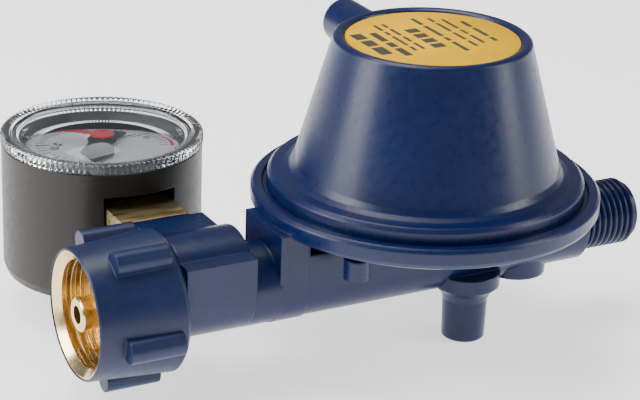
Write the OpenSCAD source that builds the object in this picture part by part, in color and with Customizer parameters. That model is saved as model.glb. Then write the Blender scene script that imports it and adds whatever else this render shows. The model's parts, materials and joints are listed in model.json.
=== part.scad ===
// Low-pressure gas regulator with a hand nut on the inlet and a pressure gauge
// standing on its own socket. Lengths are millimetres, +Z is up. Inside every
// module the diaphragm housing's axis is x = 0, y = 0; place() then moves the
// piece so that the origin is under the middle of the whole object.

/* [Housing] */
// Radius of the casting's outer rim
rim_r = 33.2; // [32:0.1:34]
// Height of the rim's top edge above the foot of the post
rim_top = 32.2; // [32:0.1:32.6]
// Radius of the bonnet where its cone meets the flange
cone_low_r = 25.25; // [24.5:0.05:26]
// Radius of the bonnet at its top edge
cone_top_r = 18.75; // [18:0.05:19.5]
// Height of the bonnet's top edge
bonnet_top = 61.2; // [60.8:0.1:62]

/* [Inlet] */
// Height of the inlet's axis
inlet_z = 17.8; // [17.6:0.1:18]
// Place of the hand nut's front face along X
nut_front = -71.5; // [-72:0.1:-71]
// Crest radius of the W21.8 thread in the nut
inlet_thread_r = 9.9; // [9.8:0.05:10]
// Number of grip ribs on the nut
nut_ribs = 5; // [4:1:6]

/* [Outlet] */
// Height of the outlet's axis
outlet_z = 19; // [18.8:0.1:19.2]
// Place of the outlet's end face along X
outlet_end = 46.5; // [46:0.1:47]
// Outer radius of the G 1/4 thread
outlet_thread_r = 6.58; // [6.5:0.01:6.6]
// Pitch of the G 1/4 thread
outlet_pitch = 1.337; // [1.3:0.001:1.4]

/* [Gauge] */
// Radius of the gauge's clear ring
bezel_r = 19.7; // [19.6:0.1:20]
// Radius of the gauge case
case_r = 19.5; // [19.2:0.1:19.5]
// Place of the gauge's axis along X
gauge_x = -49.2; // [-49.4:0.1:-49]
// Place of the gauge's axis along Y
gauge_y = 40.5; // [40.4:0.1:40.8]
// Width across the flats of the brass socket
socket_w = 13.5; // [13:0.1:13.8]

/* [Hidden] */
$fn = 96;
shift_x = -(nut_front + outlet_end) / 2;
shift_y = -(gauge_y + bezel_r - rim_r) / 2;
seat_z = rim_top - 1.8;
floor_z = 24.5;
film = 0.6;
plate_z = seat_z + film;
pin_x = 9;
arm_r = 6.9;
lever_pocket_r = 4.2;
rib_end_gap = 1.8;
pin_z = 22.2;
nut_rear = nut_front + 17;
block_left = nut_rear + 0.6;
block_right = -40;
block_back = 14;
block_top = 27.2;
case_bottom = 7.3;
case_top = 33.9;
dial_z = 30.6;
socket_z = 20.4;
tooth_n = 12;

// Moves a piece from the housing's axis to the object's own frame
module place() {
    translate([shift_x, shift_y, 0]) children();
}

// Moves a piece onto the gauge's axis
module at_gauge() {
    place() translate([gauge_x, gauge_y, 0]) children();
}

// A round bar along X, starting at x, with its axis at height z
module bar_x(r, x, len, z = inlet_z, y = 0) {
    translate([x, y, z]) rotate([0, 90, 0]) cylinder(r = r, h = len);
}

// A round bar along Y
module bar_y(r, x, y, z, len) {
    translate([x, y + len, z]) rotate([90, 0, 0]) cylinder(r = r, h = len);
}

// A shape turned about the inlet's axis: points are [distance along X, radius]
module turned_x(points) {
    translate([0, 0, inlet_z]) rotate([0, 90, 0]) rotate_extrude()
        polygon([for (p = points) [p[1], p[0]]]);
}

// A bar along X with a flat top and a half-round underside
module d_bar(r, x, len, z, top) {
    translate([x, 0, 0]) rotate([90, 0, 90]) linear_extrude(len) union() {
        translate([0, z]) circle(r);
        translate([-r, z]) square([2 * r, top - z]);
    }
}

// A flat ring
module ring(r_out, r_in, z, h) {
    translate([0, 0, z]) difference() {
        cylinder(r = r_out, h = h);
        translate([0, 0, -1]) cylinder(r = r_in, h = h + 2);
    }
}

// One point of a coil spring's wire surface
function coil_point(a, b, r, wire, rise) =
    [(r + wire * cos(b)) * cos(a), (r + wire * cos(b)) * sin(a), rise + wire * sin(b)];

// A coil spring from z0 to z1, measured at the wire's centre
module coil(r, wire, z0, z1, turns, steps = 20, sides = 6) {
    rings = turns * steps;
    points = [for (i = [0 : rings], j = [0 : sides - 1])
        coil_point(360 * i / steps, 360 * j / sides, r, wire, z0 + (z1 - z0) * i / rings)];
    walls = [for (i = [0 : rings - 1], j = [0 : sides - 1])
        [i * sides + j, (i + 1) * sides + j,
         (i + 1) * sides + (j + 1) % sides, i * sides + (j + 1) % sides]];
    first = [[for (j = [0 : sides - 1]) j]];
    last = [[for (j = [sides - 1 : -1 : 0]) rings * sides + j]];
    polyhedron(points, concat(walls, first, last));
}

// Outline of the housing's lower half, turned about Z
module bowl() {
    rotate_extrude() polygon([
        [0, 21.8], [13, 21.8], [28.5, 27.2], [31.6, 28], [rim_r - 0.5, 28.6], [rim_r, 29.4],
        [rim_r, rim_top - 0.6], [rim_r - 0.6, rim_top], [31, rim_top], [31, seat_z],
        [26.5, seat_z], [26.5, seat_z - 1.2], [15, floor_z], [0, floor_z]]);
}

// Crests and roots of the outlet's thread
module outlet_thread() {
    crests = 8;
    depth = 0.86;
    start = outlet_end - 0.8 - crests * outlet_pitch;
    points = [for (i = [0 : crests - 1], p = [[0, -depth], [0.45, 0], [0.8, 0], [1.25, -depth]])
        [outlet_thread_r + p[1], start + i * outlet_pitch + p[0]]];
    translate([0, 0, outlet_z]) rotate([0, 90, 0]) rotate_extrude()
        polygon(concat([[0, 33.8], [outlet_thread_r - depth, 33.8]], points,
                       [[outlet_thread_r - depth, outlet_end], [0, outlet_end]]));
}

// The lower casting's outside
module casting_outside() {
    bowl();
    d_bar(arm_r, -30, 46, 17, floor_z);
    d_bar(7.4, -34.2, 6, 17.3, 29.4);
    bar_x(7.7, block_right - 0.5, 7);
    d_bar(9.6, block_left, block_right - block_left, 20, block_top);
    translate([block_left, 0, 13.2]) cube([block_right - block_left, block_back, block_top - 13.2]);
    translate([8.5, -3.2, 0]) rotate_extrude()
        polygon([[0, 0], [3.9, 0], [4.2, 0.3], [4.4, 8.2], [5, 9.7], [6.6, 11.2], [6.6, 14], [0, 14]]);
    translate([21.5, 0, 10.6]) cylinder(r = 6.2, h = 12);
    bar_x(7.9, 12, 21.6, outlet_z);
    bar_x(6.9, 33, 1.5, outlet_z);
    translate([-21.8, -13.4, 21.6]) cylinder(r = 2.4, h = 4);
    outlet_thread();
}

// Lower casting: housing, inlet arm, post and outlet in one piece
module body_casting() {
    color("midnightblue") place() difference() {
        casting_outside();
        // Diaphragm chamber
        rotate_extrude() polygon([
            [0, floor_z], [15, floor_z], [26.5, seat_z - 1.2], [26.5, seat_z], [31, seat_z],
            [31, rim_top + 1], [0, rim_top + 1]]);
        translate([0, 0, 22.8]) cylinder(r = lever_pocket_r, h = 3);
        // Valve bore, lever pocket and the port between them
        bar_x(3.5, -14, 26.8);
        translate([5.5, -3, 14]) cube([7, 6, 12]);
        translate([-10.2, 0, inlet_z]) cylinder(r = 1.4, h = 8);
        bar_y(1, pin_x, -6, pin_z, 12);
        // Inlet passage and nipple seat
        bar_x(2, -44, 31);
        bar_x(5, block_left - 1, -43 - block_left + 1);
        // Gauge port
        bar_y(3.4, gauge_x, 7, socket_z, 8);
        bar_y(1.2, gauge_x, 0, inlet_z, 9);
        // Outlet passage
        bar_x(3, 12, 22, outlet_z);
        bar_x(4, 32, outlet_end - 31, outlet_z);
    }
}

// Upper housing with its breather stub
module bonnet() {
    color("navy") place() difference() {
        union() {
            difference() {
                union() {
                    rotate_extrude() polygon([
                        [0, plate_z], [30, plate_z], [30, 34.1], [29.3, 34.8], [27.2, 35],
                        [26, 35.5], [cone_low_r, 36.6], [cone_top_r, bonnet_top - 1.2],
                        [cone_top_r - 0.2, bonnet_top - 0.4], [cone_top_r - 0.75, bonnet_top],
                        [17.2, bonnet_top], [16.6, bonnet_top - 0.3], [16.5, bonnet_top - 0.7],
                        [0, bonnet_top - 0.7]]);
                    bar_y(4.4, -2.5, 17, 55.8, 13);
                }
                rotate_extrude() polygon([
                    [0, plate_z - 1], [26.6, plate_z - 1], [26.6, 33.5], [23, 35], [16.9, 57.6], [0, 57.6]]);
            }
            ring(15.3, 13.5, 52, 6);
        }
        translate([0, 0, 50]) cylinder(r = 13.5, h = 12);
        bar_y(2.6, -2.5, 15.6, 55.8, 15);
    }
}

// Steel ring that locks the bonnet's flange in the rim
module retaining_ring() {
    color("silver") place() ring(30.95, 30.05, plate_z, 0.8);
}

// Printed disc in the bonnet's top recess
module label_disc() {
    color("gold") place() translate([0, 0, bonnet_top - 0.7]) cylinder(r = 16.3, h = 0.25);
}

// Plastic plug under the label
module seal_cap() {
    color("dimgray") place() translate([0, 0, 57.4]) cylinder(r = 13.5, h = bonnet_top - 58.1);
}

// Threaded ring that sets the spring's force
module adjusting_screw() {
    color("silver") place() difference() {
        translate([0, 0, 52.4]) cylinder(r = 13.5, h = 4.8);
        translate([0, 0, 51]) cylinder(r = 5, h = 8, $fn = 6);
    }
}

// Main spring on top of the diaphragm
module range_spring() {
    color("silver") place() coil(12.4, 0.9, plate_z + 1.95, 51.45, 6);
}

// Dished plate that carries the main spring
module spring_plate() {
    color("gainsboro") place() rotate_extrude() polygon([
        [2.2, plate_z], [16, plate_z], [16, plate_z + 2.4], [15.2, plate_z + 2.4],
        [15.2, plate_z + 1], [2.2, plate_z + 1]]);
}

// Rubber diaphragm, clamped under the bonnet's flange
module diaphragm() {
    color("black") place() ring(30.9, 2.2, seat_z, film);
}

// Plate under the diaphragm
module lower_plate() {
    color("gainsboro") place() ring(14, 2.2, seat_z - 0.8, 0.8);
}

// Central spindle: hooks the lever and carries the relief seat
module relief_spindle() {
    color("goldenrod") place() rotate_extrude() polygon([
        [0, 24.55], [2.4, 24.55], [2.4, 25.15], [1.1, 25.15], [1.1, 27.45], [2.4, 27.45],
        [2.4, 28], [5, 28], [5, 28.8], [1.5, 28.8], [1.5, 40], [0, 40]]);
}

// Rubber ring on the relief seat
module relief_seal() {
    color("black") place() ring(4.8, 3.2, 28.8, seat_z - 0.8 - 28.8);
}

// Light spring that holds the relief seat shut
module relief_spring() {
    color("silver") place() coil(3.6, 0.45, plate_z + 1.5, 37.5, 6, 16);
}

// Nut on top of the relief spring
module relief_nut() {
    color("goldenrod") place() difference() {
        translate([0, 0, 38]) cylinder(r = 4.6, h = 1.6, $fn = 6);
        translate([0, 0, 37]) cylinder(r = 1.5, h = 4);
    }
}

// Angle lever between the spindle and the valve slide
module valve_lever() {
    color("lightgray") place() difference() {
        union() {
            bar_y(2, pin_x, -2.5, pin_z, 5);
            translate([pin_x - 0.8, -2.5, pin_z]) cube([1.6, 5, 4.8]);
            translate([-2.2, -2.6, 25.6]) cube([pin_x + 3, 5.2, 1.4]);
            translate([pin_x - 0.7, -1.5, inlet_z]) cube([1.4, 3, 4]);
            bar_y(0.9, pin_x, -1.5, inlet_z, 3);
        }
        bar_y(1.05, pin_x, -4, pin_z, 8);
        translate([-4, -1.4, 24]) cube([6.4, 2.8, 5]);
    }
}

// Pin that the lever turns on
module lever_pin() {
    color("silver") place() bar_y(1, pin_x, -6, pin_z, 12);
}

// Sliding valve piston
module valve_slide() {
    color("goldenrod") place() difference() {
        bar_x(3.42, -8.95, 20.4);
        bar_x(2.6, -10, 2.05);
        translate([6.2, -4, inlet_z + 1.8]) cube([8, 8, 4]);
        translate([pin_x - 1.15, -1.8, inlet_z - 1.5]) cube([2.3, 3.6, 6]);
    }
}

// Rubber pad in the slide's nose
module valve_pad() {
    color("black") place() bar_x(2.6, -9.45, 1.5);
}

// Brass orifice that the pad closes
module valve_seat() {
    color("gold") place() difference() {
        union() {
            bar_x(3.5, -14, 3);
            bar_x(1.8, -11, 1);
        }
        bar_x(1, -15, 6);
    }
}

// Fine strainer in the inlet passage
module inlet_strainer() {
    color("silver") place() difference() {
        bar_x(2, -42.8, 5);
        bar_x(1.3, -43.8, 5);
    }
}

// Brass nipple with the collar that holds the nut
module inlet_nipple() {
    color("gold") place() difference() {
        turned_x([[nut_front + 0.5, 0], [nut_front + 0.5, 2.9], [nut_front + 0.8, 3.2], [-63, 3.2],
                  [-61.4, 5.2], [-61.2, 9.2], [-59.7, 9.2], [-59.7, 6.5], [block_left, 6.5],
                  [block_left, 5], [-43, 5], [-43, 0]]);
        bar_x(1.7, -73, 31);
        bar_y(1.2, gauge_x, 0, inlet_z, 6);
    }
}

// Threaded brass insert of the hand nut
module nut_insert() {
    pitch = 1.814;
    root = inlet_thread_r + 1;
    groove = [[0, 0], [0.35, 0], [0.9, 1], [1.25, 1]];
    start = nut_front + 1.5;
    color("gold") place() turned_x(concat(
        [[nut_front + 0.2, 11.7], [nut_front + 0.2, 11.4]],
        [for (i = [0 : 4], p = groove) [start + i * pitch + p[0], inlet_thread_r + p[1]]],
        [[start + 5 * pitch, inlet_thread_r], [-60.8, inlet_thread_r], [-60.8, root], [-59.5, root],
         [-59.5, 6.6], [-57, 6.6], [-57, 11.7]]));
}

// Ribbed plastic grip moulded over the insert
module nut_grip() {
    rib_front = nut_front + 4.8;
    rib_len = nut_rear - rib_front - rib_end_gap;
    color("darkslateblue") place() difference() {
        union() {
            turned_x([[nut_front, 0], [nut_front, 11.85], [nut_front + 0.35, 12.15],
                      [nut_front + 4.2, 12.4], [nut_rear - 0.7, 13.2], [nut_rear, 12.5], [nut_rear, 0]]);
            for (i = [0 : nut_ribs - 1])
                translate([0, 0, inlet_z]) rotate([29 + i * 360 / nut_ribs, 0, 0]) {
                    bar_x(2.25, rib_front, rib_len, 13.25);
                    translate([rib_front, -2.1, 10]) cube([rib_len, 4.2, 3.25]);
                }
        }
        bar_x(11.7, nut_front - 1, -57 - nut_front + 1);
        bar_x(6.6, -58, 8);
    }
}

// Mesh disc in the breather stub
module vent_screen() {
    color("silver") place() bar_y(2.6, -2.5, 26, 55.8, 0.8);
}

// Brass socket that carries the gauge
module gauge_socket() {
    color("gold") place() difference() {
        union() {
            translate([gauge_x - socket_w / 2, block_back + 0.8, socket_z - socket_w / 2])
                cube([socket_w, 10.6, socket_w]);
            translate([gauge_x - 4, 25, socket_z - 3.5]) cube([8, 6, 7]);
            bar_y(3.4, gauge_x, 7, socket_z, 8);
        }
        bar_y(1.2, gauge_x, 6, socket_z, 20);
    }
}

// Sealing washer between the socket and the casting
module gauge_washer() {
    color("peru") place() difference() {
        bar_y(6, gauge_x, block_back, socket_z, 0.8);
        bar_y(3.4, gauge_x, block_back - 1, socket_z, 3);
    }
}

// Plastic case of the gauge, cut away for the socket
module gauge_case() {
    color("dimgray") at_gauge() difference() {
        rotate_extrude() polygon([
            [0, case_bottom], [case_r - 2.2, case_bottom], [case_r - 0.6, case_bottom + 0.6],
            [case_r, case_bottom + 2.2], [case_r, case_top], [17.7, case_top], [17.7, dial_z],
            [16.4, dial_z], [16.4, case_bottom + 1.7], [0, case_bottom + 1.7]]);
        translate([-7.2, -25, 13.2]) cube([14.4, 15, 16.3]);
    }
}

// Clear lens and knurled ring in one moulding
module gauge_lens() {
    top = case_top + 2.1;
    color("lightcyan") at_gauge() difference() {
        rotate_extrude() polygon([
            [0, top - 1.1], [17, top - 1.1], [17, dial_z + 0.8], [17.6, dial_z + 0.8],
            [17.6, case_top + 0.1], [bezel_r, case_top + 0.1], [bezel_r, top - 0.5],
            [bezel_r - 0.5, top], [0, top]]);
        translate([0, 0, case_top]) cylinder(r = 0.8, h = 4);
    }
}

// Dial plate
module gauge_dial() {
    color("whitesmoke") at_gauge() difference() {
        translate([0, 0, dial_z]) cylinder(r = 17.6, h = 0.6);
        translate([0, 0, dial_z - 1]) cylinder(r = 1.6, h = 3);
        for (s = [-1, 1]) translate([s * 11, 0, dial_z - 1]) cylinder(r = 0.6, h = 3);
    }
}

// Two screws that hold the dial
module dial_screws() {
    color("silver") at_gauge() for (s = [-1, 1]) translate([s * 11, 0, 0]) {
        translate([0, 0, dial_z + 0.6]) cylinder(r = 1, h = 0.4);
        translate([0, 0, dial_z - 1.6]) cylinder(r = 0.6, h = 2.2);
    }
}

// Black pointer pressed on the pinion shaft
module gauge_pointer() {
    color("black") at_gauge() translate([0, 0, 32.4]) difference() {
        union() {
            cylinder(r = 2.2, h = 0.5);
            rotate([0, 0, 215]) linear_extrude(0.5)
                polygon([[0, -1.5], [14.5, -0.25], [14.5, 0.25], [0, 1.5]]);
            rotate([0, 0, 35]) linear_extrude(0.5) polygon([[0, -1.2], [8, -2.6], [8, 2.6], [0, 1.2]]);
        }
        translate([0, 0, -1]) cylinder(r = 0.8, h = 3);
    }
}

// Shaft with the small gear that turns the pointer
module pinion_shaft() {
    color("gold") at_gauge() {
        translate([0, 0, 13.4]) cylinder(r = 0.8, h = 19.8);
        translate([0, 0, 20]) difference() {
            cylinder(r = 1.6, h = 2);
            for (i = [0 : tooth_n - 1])
                rotate([0, 0, i * 360 / tooth_n]) translate([1.6, 0, -1]) cylinder(r = 0.2, h = 4);
        }
    }
}

// Two brass plates that carry the gauge's gears
module movement_plates() {
    color("gold") at_gauge() for (z = [14, 27]) difference() {
        translate([-12, -7.5, z]) cube([15, 15, 1]);
        translate([0, 0, z - 1]) cylinder(r = 0.85, h = 3);
        translate([-9.8, 0, z - 1]) cylinder(r = 0.85, h = 3);
    }
}

// Pillars between the plates
module movement_pillars() {
    color("goldenrod") at_gauge() for (s = [-1, 1])
        translate([1, s * 6, 15]) cylinder(r = 1, h = 12);
}

// Toothed sector driven by the pressure tube
module sector_gear() {
    color("gold") at_gauge() translate([-9.8, 0, 0]) {
        translate([0, 0, 13.4]) cylinder(r = 0.8, h = 15.2);
        translate([0, 0, 20.4]) cylinder(r = 1.8, h = 1.2);
        translate([0, 0, 20.4]) rotate([0, 0, -52]) rotate_extrude(angle = 58) square([8, 1.2]);
        translate([-2.2, -0.6, 20.4]) cube([2.2, 1.2, 1.2]);
    }
}

// Link towards the tip of the pressure tube
module tip_link() {
    color("goldenrod") at_gauge() translate([-12.2, -3.4, 21.6]) cube([0.9, 3.8, 0.6]);
}

// C-shaped pressure tube
module bourdon_tube() {
    color("peru") at_gauge() translate([0, 0, 18]) rotate([0, 0, -52])
        rotate_extrude(angle = 245) translate([12.8, 0]) square([1.5, 5]);
}

// Red marker hand under the lens, set by turning the ring
module marker_hand() {
    color("crimson") at_gauge() translate([0, 0, case_top + 0.45]) difference() {
        union() {
            cylinder(r = 2.5, h = 0.3);
            rotate([0, 0, 125]) linear_extrude(0.3) polygon([[0, -1.4], [16, -0.2], [16, 0.2], [0, 1.4]]);
        }
        translate([0, 0, -1]) cylinder(r = 0.8, h = 3);
    }
}

// Rivet that holds the marker hand to the lens
module marker_rivet() {
    top = case_top + 2.1;
    color("silver") at_gauge() {
        translate([0, 0, case_top + 0.2]) cylinder(r = 0.8, h = top - case_top - 0.2);
        translate([0, 0, case_top + 0.2]) cylinder(r = 1.4, h = 0.25);
        translate([0, 0, top]) cylinder(r = 1.3, h = 0.2);
    }
}

body_casting();
bonnet();
retaining_ring();
label_disc();
seal_cap();
adjusting_screw();
range_spring();
spring_plate();
diaphragm();
lower_plate();
relief_spindle();
relief_seal();
relief_spring();
relief_nut();
valve_lever();
lever_pin();
valve_slide();
valve_pad();
valve_seat();
inlet_strainer();
inlet_nipple();
nut_insert();
nut_grip();
vent_screen();
gauge_socket();
gauge_washer();
gauge_case();
gauge_lens();
gauge_dial();
dial_screws();
gauge_pointer();
pinion_shaft();
movement_plates();
movement_pillars();
sector_gear();
tip_link();
bourdon_tube();
marker_hand();
marker_rivet();
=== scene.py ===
import json
import math

import bmesh
import bpy
from mathutils import Matrix, Vector


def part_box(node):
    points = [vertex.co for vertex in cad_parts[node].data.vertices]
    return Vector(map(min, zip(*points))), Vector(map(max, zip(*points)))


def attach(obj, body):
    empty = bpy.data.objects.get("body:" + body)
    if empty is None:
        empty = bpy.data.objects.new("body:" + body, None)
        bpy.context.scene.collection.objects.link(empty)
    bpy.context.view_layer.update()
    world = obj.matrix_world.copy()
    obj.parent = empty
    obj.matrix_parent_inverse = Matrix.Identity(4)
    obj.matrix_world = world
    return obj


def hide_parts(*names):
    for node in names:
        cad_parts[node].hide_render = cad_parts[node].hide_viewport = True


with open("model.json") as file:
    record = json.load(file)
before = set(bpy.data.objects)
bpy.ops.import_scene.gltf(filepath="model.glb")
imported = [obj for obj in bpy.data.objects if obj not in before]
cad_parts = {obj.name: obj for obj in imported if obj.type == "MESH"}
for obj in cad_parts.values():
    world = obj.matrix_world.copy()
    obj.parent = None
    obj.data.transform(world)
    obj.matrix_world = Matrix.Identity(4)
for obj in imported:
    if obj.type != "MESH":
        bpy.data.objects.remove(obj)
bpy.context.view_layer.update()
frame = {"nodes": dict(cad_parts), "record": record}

MM = 0.001


# ---------------------------------------------------------------- places taken from the frame
def middle(node):
    """Middle of a CAD node's box."""
    low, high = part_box(node)
    return (low + high) / 2


LENS_LOW, LENS_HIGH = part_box("gauge_lens")
GAUGE_AXIS = (LENS_LOW + LENS_HIGH) / 2
RING_R = (LENS_HIGH.x - LENS_LOW.x) / 2
DIAL_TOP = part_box("gauge_dial")[1].z
CASE_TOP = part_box("gauge_case")[1].z
POINTER_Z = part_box("gauge_pointer")[0].z
MARKER_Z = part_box("marker_hand")[0].z
LABEL_LOW, LABEL_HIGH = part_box("label_disc")
LABEL_MID = middle("label_disc")
LABEL_R = (LABEL_HIGH.x - LABEL_LOW.x) / 2

# The dial reads clockwise from its zero mark, in degrees from +X
DIAL_ZERO = 241
DIAL_SPAN = 270
DIAL_FULL = 18
NUMBER_STEP = 5
LIMIT_START = 16
TAIL_TURN = 206
MARKER_DIRECTION = 137


# ---------------------------------------------------------------- materials
def new_material(name, color, metallic=0.0, roughness=0.5, **sockets):
    """A principled material with constant values on the shader's own sockets."""
    mat = bpy.data.materials.new(name)
    mat.use_nodes = True
    shader = mat.node_tree.nodes["Principled BSDF"]
    shader.inputs["Base Color"].default_value = (*color, 1)
    shader.inputs["Metallic"].default_value = metallic
    shader.inputs["Roughness"].default_value = roughness
    for socket, value in sockets.items():
        shader.inputs[socket.replace("_", " ")].default_value = value
    return mat


def add_node(mat, kind, **values):
    """One node, with its inputs set by name."""
    node = mat.node_tree.nodes.new(kind)
    for key, value in values.items():
        if key in node.inputs:
            node.inputs[key].default_value = value
        else:
            setattr(node, key, value)
    return node


def noise(mat, scale, detail=4.0, stretch=(1, 1, 1)):
    """Noise over the object's own coordinates, in features per metre."""
    links = mat.node_tree.links
    coords = add_node(mat, "ShaderNodeTexCoord")
    mapping = add_node(mat, "ShaderNodeMapping", Scale=stretch)
    texture = add_node(mat, "ShaderNodeTexNoise", Scale=scale, Detail=detail)
    links.new(coords.outputs["Object"], mapping.inputs["Vector"])
    links.new(mapping.outputs["Vector"], texture.inputs["Vector"])
    return texture.outputs["Fac"]


def vary(mat, socket, source, low, high):
    """Drives a shader value between low and high from a grey source."""
    ramp = add_node(mat, "ShaderNodeMapRange")
    ramp.inputs["From Min"].default_value = 0.3
    ramp.inputs["From Max"].default_value = 0.7
    ramp.inputs["To Min"].default_value = low
    ramp.inputs["To Max"].default_value = high
    mat.node_tree.links.new(source, ramp.inputs["Value"])
    shader = mat.node_tree.nodes["Principled BSDF"]
    mat.node_tree.links.new(ramp.outputs["Result"], shader.inputs[socket])


def vary_color(mat, source, dark, light):
    """Mixes two colours over the surface from a grey source."""
    ramp = mat.node_tree.nodes.new("ShaderNodeValToRGB")
    ramp.color_ramp.elements[0].position = 0.3
    ramp.color_ramp.elements[1].position = 0.7
    ramp.color_ramp.elements[0].color = (*dark, 1)
    ramp.color_ramp.elements[1].color = (*light, 1)
    mat.node_tree.links.new(source, ramp.inputs["Fac"])
    shader = mat.node_tree.nodes["Principled BSDF"]
    mat.node_tree.links.new(ramp.outputs["Color"], shader.inputs["Base Color"])


def bump(mat, source, height, strength=1.0, edge=0.0):
    """Relief of the given height in metres, with edges rounded to radius edge."""
    links = mat.node_tree.links
    shader = mat.node_tree.nodes["Principled BSDF"]
    relief = add_node(mat, "ShaderNodeBump", Strength=strength, Distance=height)
    links.new(source, relief.inputs["Height"])
    if edge:
        bevel = add_node(mat, "ShaderNodeBevel", samples=6, Radius=edge)
        links.new(bevel.outputs["Normal"], relief.inputs["Normal"])
    links.new(relief.outputs["Normal"], shader.inputs["Normal"])


def scaled(color, factor):
    return tuple(min(1.0, part * factor) for part in color)


def paint(name, color, roughness, grain, edge, coat=0.1, shine=0.36):
    """Powder-coated or moulded surface: fine grain, slight colour drift, rounded edges."""
    mat = new_material(name, color, roughness=roughness, Coat_Weight=coat, Coat_Roughness=0.25,
                       Specular_IOR_Level=shine)
    drift = noise(mat, 90, 3)
    vary_color(mat, drift, scaled(color, 0.88), scaled(color, 1.14))
    vary(mat, "Roughness", noise(mat, 700, 5), roughness - 0.05, roughness + 0.06)
    bump(mat, noise(mat, grain, 2), 0.00002, 0.35, edge)
    return mat


def turned_metal(name, color, roughness, axis, pitch, height, edge=0.0001):
    """Lathe-turned metal: fine rings square to the axis (0, 1 or 2)."""
    mat = new_material(name, color, metallic=1.0, roughness=roughness)
    links = mat.node_tree.links
    coords = add_node(mat, "ShaderNodeTexCoord")
    wave = add_node(mat, "ShaderNodeTexWave", wave_type="BANDS", bands_direction="XYZ"[axis],
                    Scale=1 / pitch / 20, Distortion=1.5, Detail=2.0)
    links.new(coords.outputs["Object"], wave.inputs["Vector"])
    vary(mat, "Roughness", noise(mat, 500), roughness - 0.06, roughness + 0.08)
    vary_color(mat, noise(mat, 160), scaled(color, 0.85), scaled(color, 1.08))
    bump(mat, wave.outputs["Fac"], height, 0.5, edge)
    return mat


def milled_metal(name, color, roughness, stretch):
    """Drawn or milled metal: long fine scratches along one axis."""
    mat = new_material(name, color, metallic=1.0, roughness=roughness)
    streaks = noise(mat, 900, 6, stretch)
    vary(mat, "Roughness", streaks, roughness - 0.08, roughness + 0.1)
    vary_color(mat, noise(mat, 200), scaled(color, 0.82), scaled(color, 1.1))
    bump(mat, streaks, 0.00003, 0.4, 0.0003)
    return mat


def clear_plastic(name, roughness):
    """Water-clear moulded plastic with a trace of surface waviness."""
    mat = new_material(name, (0.97, 0.98, 1.0), roughness=roughness,
                       Transmission_Weight=1.0, IOR=1.47)
    bump(mat, noise(mat, 120, 2), 0.00001, 0.3)
    return mat


NAVY = (0.001, 0.008, 0.055)
NUT_BLUE = (0.003, 0.011, 0.055)
BRASS = (0.86, 0.66, 0.34)
PAINT = paint("blue_powder_coat", NAVY, 0.31, 2600, 0.0006)
NUT_PLASTIC = paint("blue_nylon", NUT_BLUE, 0.42, 1800, 0.0005)
BLACK_PLASTIC = paint("black_plastic", (0.017, 0.014, 0.011), 0.42, 3200, 0.0003)
BRASS_TURNED = turned_metal("turned_brass", BRASS, 0.2, 0, 0.00035, 0.00002)
BRASS_MILLED = milled_metal("milled_brass", scaled(BRASS, 0.85), 0.34, (0.15, 1, 1))
BRASS_SMALL = turned_metal("gauge_brass", BRASS, 0.25, 2, 0.0003, 0.00001)
STEEL = milled_metal("steel", (0.55, 0.56, 0.58), 0.3, (1, 1, 0.2))
BRONZE = milled_metal("bronze", (0.62, 0.34, 0.17), 0.34, (0.2, 1, 1))
RUBBER = paint("rubber", (0.02, 0.02, 0.021), 0.7, 1500, 0.0001)
SEAL_GREY = paint("seal_grey", (0.10, 0.12, 0.13), 0.5, 1500, 0)
CLEAR = clear_plastic("clear_lens", 0.03)
DIAL_WHITE = paint("dial_enamel", (0.62, 0.64, 0.66), 0.4, 4000, 0)
PRINT_BLACK = paint("print_black", (0.02, 0.02, 0.022), 0.5, 4000, 0)
PRINT_RED = paint("print_red", (0.6, 0.01, 0.02), 0.45, 4000, 0)
POINTER_BLACK = paint("pointer_black", (0.016, 0.019, 0.022), 0.7, 3000, 0.0001, coat=0, shine=0.2)
MARKER_RED = paint("marker_red", (0.72, 0.0, 0.03), 0.32, 3000, 0.0001)
LABEL_YELLOW = paint("label_yellow", (0.8, 0.44, 0.0), 0.65, 3500, 0, coat=0.0, shine=0.1)
LABEL_INK = paint("label_ink", (0.05, 0.05, 0.03), 0.45, 3500, 0)

SLOT_MATERIAL = {
    "blue_paint": PAINT, "blue_plastic": NUT_PLASTIC, "brass": BRASS_TURNED, "steel": STEEL,
    "rubber": RUBBER, "black_plastic": BLACK_PLASTIC, "clear_plastic": CLEAR,
    "dial_white": DIAL_WHITE, "pointer_black": POINTER_BLACK, "marker_red": MARKER_RED,
    "label_yellow": LABEL_YELLOW, "bronze": BRONZE,
}
NODE_MATERIAL = {
    "gauge_socket": BRASS_MILLED, "movement_plates": BRASS_MILLED, "sector_gear": BRASS_SMALL,
    "pinion_shaft": BRASS_SMALL, "relief_spindle": BRASS_SMALL, "movement_pillars": BRASS_SMALL,
}


def dress_cad_nodes():
    """Gives every carried-over CAD node its material."""
    for part in frame["record"]["subparts"]:
        mat = NODE_MATERIAL.get(part["node"], SLOT_MATERIAL[part["material_slot"]])
        mesh = frame["nodes"][part["node"]].data
        mesh.materials.clear()
        mesh.materials.append(mat)


# ---------------------------------------------------------------- mesh helpers
def finish_piece(name, bm, mat, body, replaced=(), smooth=35):
    """Turns a bmesh into a piece that rides on a body."""
    bmesh.ops.recalc_face_normals(bm, faces=bm.faces)
    mesh = bpy.data.meshes.new(name)
    bm.to_mesh(mesh)
    bm.free()
    mesh.materials.append(mat)
    obj = bpy.data.objects.new(name, mesh)
    bpy.context.scene.collection.objects.link(obj)
    if smooth:
        for face in mesh.polygons:
            face.use_smooth = True
        mesh.set_sharp_from_angle(angle=math.radians(smooth))
    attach(obj, body)
    if replaced:
        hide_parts(*replaced)
    return obj


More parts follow.
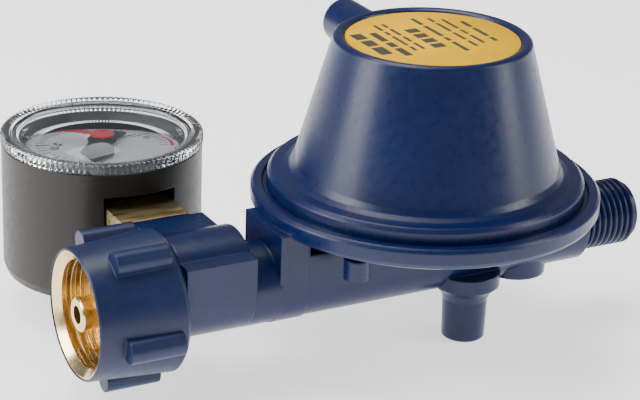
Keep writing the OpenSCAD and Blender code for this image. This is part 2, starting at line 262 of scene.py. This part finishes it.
def lathe(bm, profile, centre, steps=128, shape=None):
    """Turns a closed outline of (radius, height) round a vertical axis.

    shape(radius, angle) may change the radius, for knurls and flutes. A point with
    radius 0 becomes one vertex.
    """
    rings = []
    for radius, height in profile:
        if radius == 0:
            rings.append([bm.verts.new((centre.x, centre.y, height))])
            continue
        ring = []
        for i in range(steps):
            angle = 2 * math.pi * i / steps
            r = shape(radius, angle) if shape else radius
            ring.append(bm.verts.new((centre.x + r * math.cos(angle),
                                      centre.y + r * math.sin(angle), height)))
        rings.append(ring)
    for a, b in zip(rings, rings[1:] + rings[:1]):
        if len(a) == 1 and len(b) == 1:
            continue
        for i in range(steps):
            j = (i + 1) % steps
            if len(a) == 1:
                bm.faces.new((a[0], b[i], b[j]))
            elif len(b) == 1:
                bm.faces.new((a[i], a[j], b[0]))
            else:
                bm.faces.new((a[i], a[j], b[j], b[i]))


def plate(bm, outline, low, high, centre, turn=0.0):
    """A flat plate from an outline in millimetres, turned about the centre."""
    spin = Matrix.Rotation(math.radians(turn), 3, "Z")
    base = []
    for x, y in outline:
        p = spin @ Vector((x * MM, y * MM, 0))
        base.append(bm.verts.new((centre.x + p.x, centre.y + p.y, low)))
    face = bm.faces.new(base)
    extruded = bmesh.ops.extrude_face_region(bm, geom=[face])["geom"]
    top = [v for v in extruded if isinstance(v, bmesh.types.BMVert)]
    bmesh.ops.translate(bm, verts=top, vec=(0, 0, high - low))


def arc(radius, start, end, steps):
    """Points on an arc, in degrees."""
    return [(radius * math.cos(math.radians(start + (end - start) * i / steps)),
             radius * math.sin(math.radians(start + (end - start) * i / steps)))
            for i in range(steps + 1)]


def bevel_edges(obj, width, segments=2, angle=40):
    """Rounds a piece's hard edges."""
    mod = obj.modifiers.new("edges", "BEVEL")
    mod.width = width
    mod.segments = segments
    mod.limit_method = "ANGLE"
    mod.angle_limit = math.radians(angle)


# ---------------------------------------------------------------- gauge
def make_lens():
    """Clear lens with a finely knurled ring, and a grey seal in the slot behind it."""
    top = LENS_HIGH.z
    bottom = LENS_LOW.z
    knurls = 110
    depth = 0.5 * MM
    skirt_r = 17.5 * MM
    slot_r = 18.0 * MM
    slot_top = top - 0.8 * MM
    inner_r = 16.9 * MM
    profile = [
        (0, top - 1.1 * MM), (inner_r - 0.4 * MM, top - 1.1 * MM), (inner_r, top - 1.5 * MM),
        (inner_r, bottom), (skirt_r, bottom), (skirt_r, slot_top), (slot_r, slot_top),
        (slot_r, CASE_TOP + 0.1 * MM), (RING_R - 0.3 * MM, CASE_TOP + 0.1 * MM),
        (RING_R, CASE_TOP + 0.3 * MM), (RING_R, top - 0.4 * MM), (RING_R - 0.2 * MM, top - 0.12 * MM),
        (RING_R - 0.8 * MM, top - 0.02 * MM), (RING_R - 1.3 * MM, top),
        (RING_R - 2.1 * MM, top - 0.05 * MM), (RING_R - 2.5 * MM, top - 0.3 * MM),
        (RING_R - 2.9 * MM, top - 0.35 * MM), (0, top - 0.35 * MM)]

    def knurl(radius, angle):
        if radius < RING_R - 0.6 * MM:
            return radius
        return radius - depth * (0.5 - 0.5 * math.cos(knurls * angle)) ** 1.5

    bm = bmesh.new()
    lathe(bm, profile, GAUGE_AXIS, knurls * 6, knurl)
    finish_piece("clear_ring_lens", bm, CLEAR, "lens", ["gauge_lens"], 50)
    bm = bmesh.new()
    low = CASE_TOP + 0.15 * MM
    lathe(bm, [(skirt_r + 0.05 * MM, low), (slot_r - 0.05 * MM, low),
               (slot_r - 0.05 * MM, slot_top - 0.05 * MM),
               (skirt_r + 0.05 * MM, slot_top - 0.05 * MM)], GAUGE_AXIS, 128)
    finish_piece("lens_seal_ring", bm, SEAL_GREY, "lens")


def make_lens_ribs():
    """Upright ribs on the inside of the lens skirt."""
    bm = bmesh.new()
    for i in range(18):
        plate(bm, [(16.3, -0.16), (16.88, -0.22), (16.88, 0.22), (16.3, 0.16)],
              LENS_LOW.z + 0.1 * MM, LENS_HIGH.z - 1.3 * MM, GAUGE_AXIS, i * 20 + 7)
    finish_piece("lens_skirt_ribs", bm, CLEAR, "lens")


def dial_angle(value):
    """Direction of a reading on the dial, in degrees from +X."""
    return DIAL_ZERO - DIAL_SPAN * value / DIAL_FULL


def make_dial_print():
    """Scale marks, printed a few hundredths proud of the dial."""
    high = DIAL_TOP + 0.05 * MM
    bm = bmesh.new()
    for i in range(DIAL_FULL * 2 + 1):
        value = i / 2
        main = value % NUMBER_STEP == 0
        half = 0.42 if main else 0.13
        start = 11.4 if main else 12.6
        tip = 0.08 if main else 0.13
        plate(bm, [(start, -tip), (14.6, -half), (14.6, half), (start, tip)],
              DIAL_TOP - 0.02 * MM, high, GAUGE_AXIS, dial_angle(value))
    finish_piece("dial_scale_marks", bm, PRINT_BLACK, "regulator_body", smooth=0)
    bm = bmesh.new()
    band = arc(15.9, dial_angle(DIAL_FULL), dial_angle(LIMIT_START), 16)
    band += arc(15.1, dial_angle(LIMIT_START), dial_angle(DIAL_FULL), 16)
    plate(bm, band, DIAL_TOP - 0.02 * MM, high, GAUGE_AXIS)
    finish_piece("dial_limit_band", bm, PRINT_RED, "regulator_body", smooth=0)


def make_dial_numbers():
    """The numbers of the scale."""
    for value in range(0, DIAL_FULL, NUMBER_STEP):
        curve = bpy.data.curves.new(f"number_{value}", "FONT")
        curve.body = str(value)
        curve.size = 3.4 * MM
        curve.align_x = "CENTER"
        curve.align_y = "CENTER"
        curve.extrude = 0.03 * MM
        curve.offset = 0.05 * MM
        source = bpy.data.objects.new(f"number_{value}", curve)
        bpy.context.scene.collection.objects.link(source)
        bpy.context.view_layer.update()
        mesh = bpy.data.meshes.new_from_object(source)
        bpy.data.objects.remove(source)
        bm = bmesh.new()
        bm.from_mesh(mesh)
        bmesh.ops.remove_doubles(bm, verts=bm.verts, dist=1e-7)
        angle = math.radians(dial_angle(value))
        spot = Vector((math.cos(angle), math.sin(angle), 0)) * 9.6 * MM
        turn = Matrix.Rotation(math.radians(DIAL_ZERO - DIAL_SPAN / 2 - 90), 4, "Z")
        place = Matrix.Translation((GAUGE_AXIS.x + spot.x, GAUGE_AXIS.y + spot.y, DIAL_TOP + 0.02 * MM))
        bmesh.ops.transform(bm, matrix=place @ turn, verts=bm.verts)
        finish_piece(f"dial_number_{value}", bm, PRINT_BLACK, "regulator_body",
                     smooth=0)


def make_pointer():
    """Black pointer: round hub, broad blade to the zero mark and a short broad tail."""
    blade = [(0, -2.6), (3, -2.6), (9, -3.4), (10.2, -2.4), (13.8, -0.35), (14.3, 0),
             (13.8, 0.35), (10.2, 2.4), (9, 3.4), (3, 2.6), (0, 2.6)]
    tail = [(-1, 2.3), (-1, -2.3)] + [(x + 6.0, y) for x, y in arc(2.2, -85, 85, 10)]
    bm = bmesh.new()
    low = POINTER_Z
    thick = 0.4 * MM
    plate(bm, blade, low, low + thick, GAUGE_AXIS, DIAL_ZERO)
    plate(bm, tail, low + 0.02 * MM, low + thick + 0.03 * MM, GAUGE_AXIS, DIAL_ZERO - TAIL_TURN)
    lathe(bm, [(0, low - 0.1 * MM), (3.1 * MM, low - 0.1 * MM), (3.1 * MM, low + 0.5 * MM),
               (2.7 * MM, low + 0.62 * MM), (0, low + 0.62 * MM)], GAUGE_AXIS, 64)
    obj = finish_piece("pointer_blade", bm, POINTER_BLACK, "pointer", ["gauge_pointer"])
    bevel_edges(obj, 0.08 * MM)


def make_marker():
    """Red marker hand under the lens."""
    low = MARKER_Z
    bm = bmesh.new()
    hand = [(0, -1.1), (2.4, -0.85), (13.2, -0.32)] + [(x + 13.2, y) for x, y in arc(0.32, -80, 80, 6)]
    hand += [(13.2, 0.32), (2.4, 0.85), (0, 1.1)]
    plate(bm, hand, low, low + 0.28 * MM, GAUGE_AXIS, MARKER_DIRECTION)
    lathe(bm, [(0, low - 0.02 * MM), (2.4 * MM, low - 0.02 * MM), (2.5 * MM, low + 0.1 * MM),
               (2.4 * MM, low + 0.32 * MM), (0, low + 0.36 * MM)], GAUGE_AXIS, 64)
    obj = finish_piece("red_marker_hand", bm, MARKER_RED, "lens",
                       ["marker_hand", "marker_rivet"])
    bevel_edges(obj, 0.06 * MM)


def make_shaft_tip():
    """Domed brass end of the pointer shaft."""
    z = POINTER_Z + 0.55 * MM
    bm = bmesh.new()
    lathe(bm, [(0, z), (0.95 * MM, z), (0.95 * MM, z + 0.25 * MM), (0.7 * MM, z + 0.5 * MM),
               (0.3 * MM, z + 0.62 * MM), (0, z + 0.64 * MM)], GAUGE_AXIS, 32)
    finish_piece("pointer_shaft_tip", bm, BRASS_SMALL, "pointer")


# ---------------------------------------------------------------- label
def make_label():
    """Yellow disc with rows of plain printed bars in place of any wording."""
    low = LABEL_LOW.z
    high = low + 0.22 * MM
    bm = bmesh.new()
    lathe(bm, [(0, low), (LABEL_R, low), (LABEL_R, high - 0.05 * MM),
               (LABEL_R - 0.08 * MM, high), (0, high)], LABEL_MID, 160)
    finish_piece("label_plate", bm, LABEL_YELLOW, "regulator_body", ["label_disc"], 50)
    rows = [  # place across the disc, height of the row, lengths of its bars, from one end
        (-12.4, 2.4, 7.5, (3.2, 3.2, 4.2)), (-9.0, 1.5, 7.0, (5.2, 2.6, 4.4)),
        (-6.4, 0.7, 11.0, (3.4, 2.0, 5.6, 2.2)), (-4.6, 0.7, 11.0, (2.2, 4.0, 3.0, 3.8)),
        (-1.2, 2.6, 6.5, (2.2, 2.2, 2.2, 2.2)), (2.4, 0.9, 12.0, (4.0, 6.5, 2.0, 5.4)),
        (5.4, 0.7, 11.0, (2.4, 5.2, 4.4, 3.2)), (7.6, 0.7, 9.5, (6.0, 2.6, 4.8)),
        (10.4, 0.9, 7.0, (3.6, 5.0, 2.2))]
    gap = 0.9
    bm = bmesh.new()
    for x, tall, start, lengths in rows:
        y = start
        for length in lengths:
            plate(bm, [(x - tall / 2, y - length), (x + tall / 2, y - length),
                       (x + tall / 2, y), (x - tall / 2, y)], high - 0.02 * MM, high + 0.03 * MM, LABEL_MID)
            y -= length + gap
    finish_piece("label_bars", bm, LABEL_INK, "regulator_body", smooth=0)


# ---------------------------------------------------------------- springs
def helix(name, node, wire, turns, body):
    """A coil spring of round wire, closer-wound at its ends, in the space of its CAD node.

    It keeps its rest length at every pose.
    """
    low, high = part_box(node)
    centre = (low + high) / 2
    radius = (high.x - low.x) / 2 - wire
    steps = 28
    sides = 10
    closing = 0.4
    count = turns * steps
    bm = bmesh.new()
    rings = []
    for i in range(count + 1):
        part = i / count
        rise = part - math.sin(2 * math.pi * part) / (2 * math.pi) * closing
        angle = 2 * math.pi * i / steps
        z = low.z + wire + (high.z - low.z - 2 * wire) * rise
        ring = []
        for j in range(sides):
            b = 2 * math.pi * j / sides
            r = radius + wire * math.cos(b)
            ring.append(bm.verts.new((centre.x + r * math.cos(angle), centre.y + r * math.sin(angle),
                                      z + wire * math.sin(b))))
        rings.append(ring)
    for a, b in zip(rings, rings[1:]):
        for j in range(sides):
            k = (j + 1) % sides
            bm.faces.new((a[j], a[k], b[k], b[j]))
    bm.faces.new(rings[0])
    bm.faces.new(rings[-1])
    finish_piece(name, bm, STEEL, body, [node], 60)


# ---------------------------------------------------------------- studio
def make_camera():
    """Camera at the left of the front, slightly above, with a long lens and a slight roll."""
    azimuth = math.radians(-28.68)
    elevation = math.radians(22.15)
    roll = math.radians(2.05)
    place = Vector((-0.1913, -0.3448, 0.1858))
    back = Vector((math.sin(azimuth) * math.cos(elevation), -math.cos(azimuth) * math.cos(elevation),
                   math.sin(elevation)))
    right = Vector((math.cos(azimuth), math.sin(azimuth), 0))
    up = back.cross(right)
    x_axis = math.cos(roll) * right + math.sin(roll) * up
    y_axis = math.cos(roll) * up - math.sin(roll) * right
    data = bpy.data.cameras.new("camera")
    data.sensor_width = 36
    data.lens = 123.75
    data.clip_start = 0.01
    data.clip_end = 20
    cam = bpy.data.objects.new("camera", data)
    bpy.context.scene.collection.objects.link(cam)
    rotation = Matrix((x_axis, y_axis, back)).transposed().to_4x4()
    cam.matrix_world = Matrix.Translation(place) @ rotation
    bpy.context.scene.camera = cam


def area_light(name, place, target, size, power, color=(1, 1, 1)):
    data = bpy.data.lights.new(name, "AREA")
    data.shape = "RECTANGLE"
    data.size, data.size_y = size
    data.energy = power
    data.color = color
    lamp = bpy.data.objects.new(name, data)
    bpy.context.scene.collection.objects.link(lamp)
    lamp.location = place
    lamp.rotation_euler = (Vector(target) - Vector(place)).to_track_quat("-Z", "Y").to_euler()


def make_studio():
    """Pale floor, pale surroundings and three soft lights."""
    mesh = bpy.data.meshes.new("floor")
    half = 3.0
    mesh.from_pydata([(-half, -half, 0), (half, -half, 0), (half, half, 0), (-half, half, 0)], [],
                     [(0, 1, 2, 3)])
    floor = bpy.data.objects.new("floor", mesh)
    floor.location.z = -0.0002
    bpy.context.scene.collection.objects.link(floor)
    mat = new_material("floor_paper", (0.9, 0.9, 0.9), roughness=0.9, Emission_Strength=1.1,
                       Emission_Color=(1, 1, 1, 1))
    bump(mat, noise(mat, 60, 2), 0.0001, 0.05)
    mesh.materials.append(mat)
    world = bpy.data.worlds.new("studio")
    world.use_nodes = True
    world.node_tree.nodes["Background"].inputs["Color"].default_value = (0.95, 0.96, 1.0, 1)
    world.node_tree.nodes["Background"].inputs["Strength"].default_value = 0.28
    bpy.context.scene.world = world
    centre = (0, 0, 0.03)
    area_light("key", (-0.55, 0.12, 0.3), centre, (0.3, 0.5), 5.0)
    area_light("fill", (0.5, -0.35, 0.3), centre, (0.2, 0.5), 2.5)
    area_light("top", (-0.05, 0.2, 0.7), centre, (0.5, 0.35), 4.0)


make_camera()
make_studio()
dress_cad_nodes()
make_lens()
make_lens_ribs()
make_dial_print()
make_dial_numbers()
make_pointer()
make_marker()
make_shaft_tip()
make_label()
helix("main_spring_coil", "range_spring", 0.9 * MM, 6, "regulator_body")
helix("relief_spring_coil", "relief_spring", 0.45 * MM, 6, "spindle")
